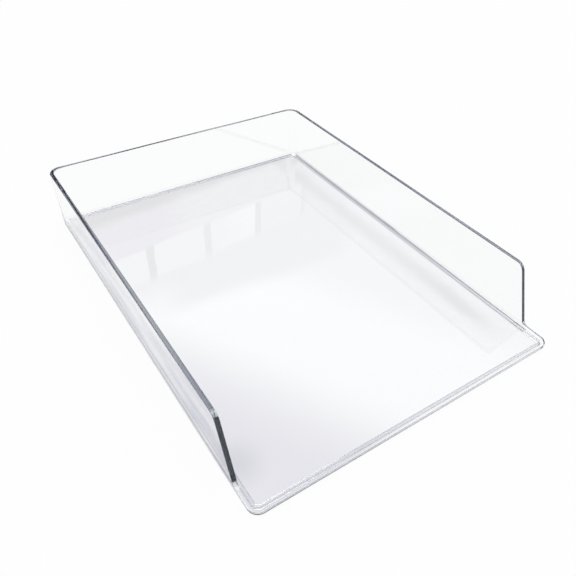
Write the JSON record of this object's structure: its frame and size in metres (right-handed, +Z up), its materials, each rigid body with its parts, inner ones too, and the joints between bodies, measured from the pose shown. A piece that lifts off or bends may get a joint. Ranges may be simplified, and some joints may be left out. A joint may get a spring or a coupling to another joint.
{
  "type": "letter tray",
  "caption": "Clear one-piece stackable letter tray: flat floor on a foot ring, upright walls on the back and sides, open front with a low lip and sloped side-wall ends.",
  "frame": {"origin": "centre of the tray in plan, on the surface the foot ring stands on", "axes": "+X to the right as seen from the open front, +Y from the open front towards the back wall, +Z up"},
  "size_m": [0.255, 0.344, 0.0508],
  "materials": {
    "clear_polystyrene": "clear, polished as moulded"
  },
  "bodies": {
    "root": {"letter_tray": "clear_polystyrene"}
  },
  "joints": []
}
